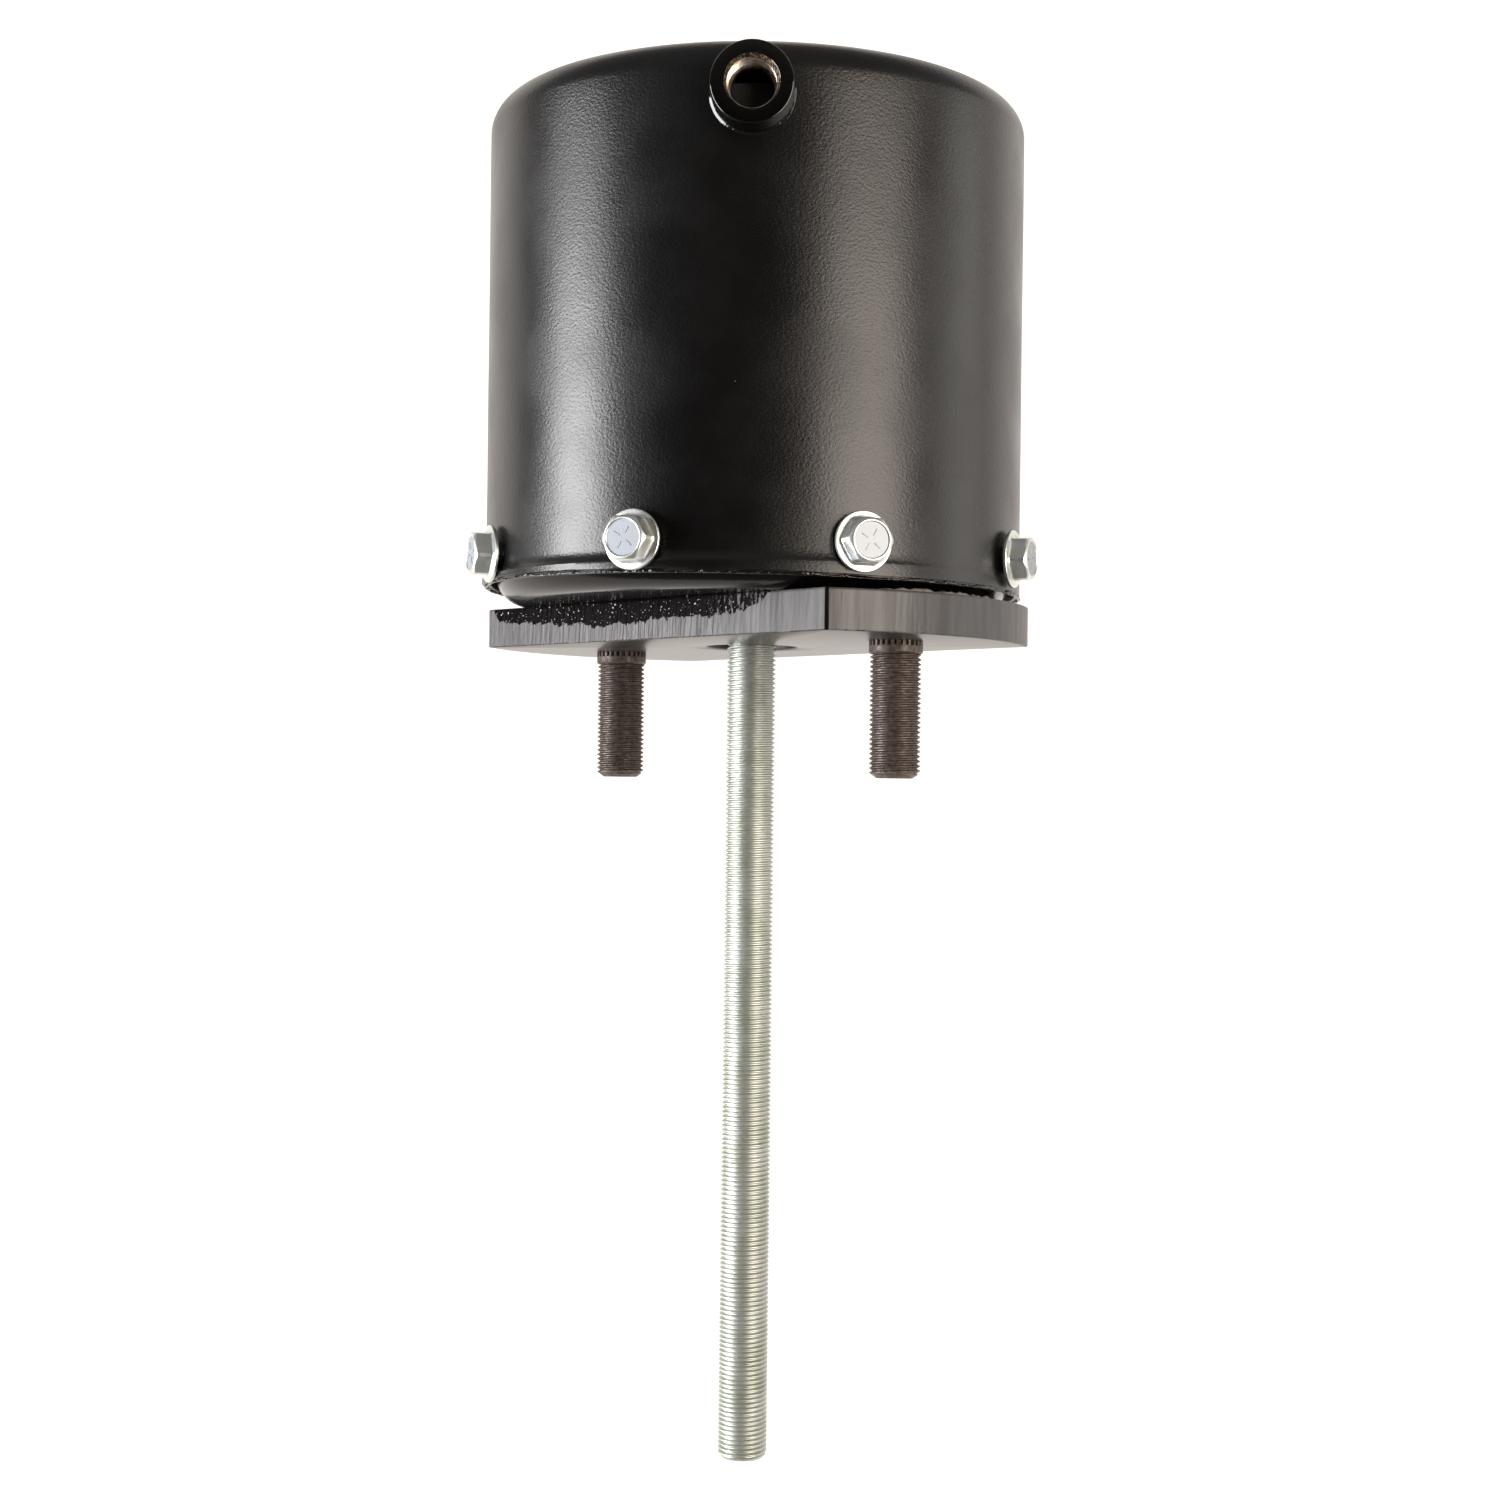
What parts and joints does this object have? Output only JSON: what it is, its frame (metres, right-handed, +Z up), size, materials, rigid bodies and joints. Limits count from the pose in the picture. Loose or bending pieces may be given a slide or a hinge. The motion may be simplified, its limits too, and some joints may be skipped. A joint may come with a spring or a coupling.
{
  "type": "air brake chamber",
  "caption": "Piston air brake chamber: deep drawn can with radial bolts, side inlet port, stud mounting plate, spring-returned piston and a long threaded push rod on a ball joint.",
  "frame": {"origin": "middle of the mounting plate's underside, on the can's axis", "axes": "+Z up the can's axis to its crown, -Y towards the inlet port, +X to the right seen from the port"},
  "size_m": [0.1804, 0.1869, 0.4463],
  "materials": {
    "can_paint": "satin black paint with a fine orange peel",
    "port_paint": "black paint, bare thread",
    "plate_paint": "thin black paint on a torch-cut edge",
    "stud_phosphate": "dark phosphate",
    "zinc_bolt": "bright zinc plate",
    "zinc_rod": "zinc plate, satin",
    "zinc_screw": "zinc plate",
    "plain_steel": "oiled steel",
    "spring_paint": "dark coated spring wire",
    "spring_steel": "tempered strip",
    "hard_steel": "ground steel",
    "cast_alloy": "cast, machined on its fits",
    "bronze": "sintered bronze",
    "guide_plastic": "natural nylon",
    "felt": "oiled felt",
    "seal_rubber": "moulded rubber"
  },
  "bodies": {
    "housing": {"pressure_can": "can_paint", "inlet_port": "port_paint", "lower_head": "can_paint", "mounting_plate": "plate_paint", "stud_left": "stud_phosphate", "stud_right": "stud_phosphate", "case_bolts": "zinc_bolt", "weld_nuts": "plain_steel", "spring_seat": "plain_steel", "return_spring": "spring_paint"},
    "piston_group": {"piston": "cast_alloy", "guide_ring": "guide_plastic", "felt_ring": "felt", "cup_seal": "seal_rubber", "cup_expander": "spring_steel", "cup_follower": "plain_steel", "follower_screws": "zinc_screw", "socket_cap": "plain_steel", "cap_screws": "zinc_screw"},
    "liner_group": {"ball_liner": "bronze"},
    "rod_group": {"rod_ball": "hard_steel", "rod_pin": "hard_steel", "push_rod": "zinc_rod"}
  },
  "joints": [
    {"name": "piston_stroke", "type": "slide", "parent": "housing", "child": "piston_group", "axis": [0, 0, -1], "range_m": [0, 0.076], "stiffness_N_per_m": 3900, "springref_m": -0.04, "deforming": ["return_spring"]},
    {"name": "rod_lean_across", "type": "hinge", "parent": "piston_group", "child": "liner_group", "pos_m": [0, 0, 0.15], "axis": [0.6561, 0.7547, 0], "range_deg": [-1.7, 1.7]},
    {"name": "rod_lean_along", "type": "hinge", "parent": "liner_group", "child": "rod_group", "pos_m": [0, 0, 0.15], "axis": [0.7547, -0.6561, 0], "range_deg": [-1.7, 1.7]}
  ]
}
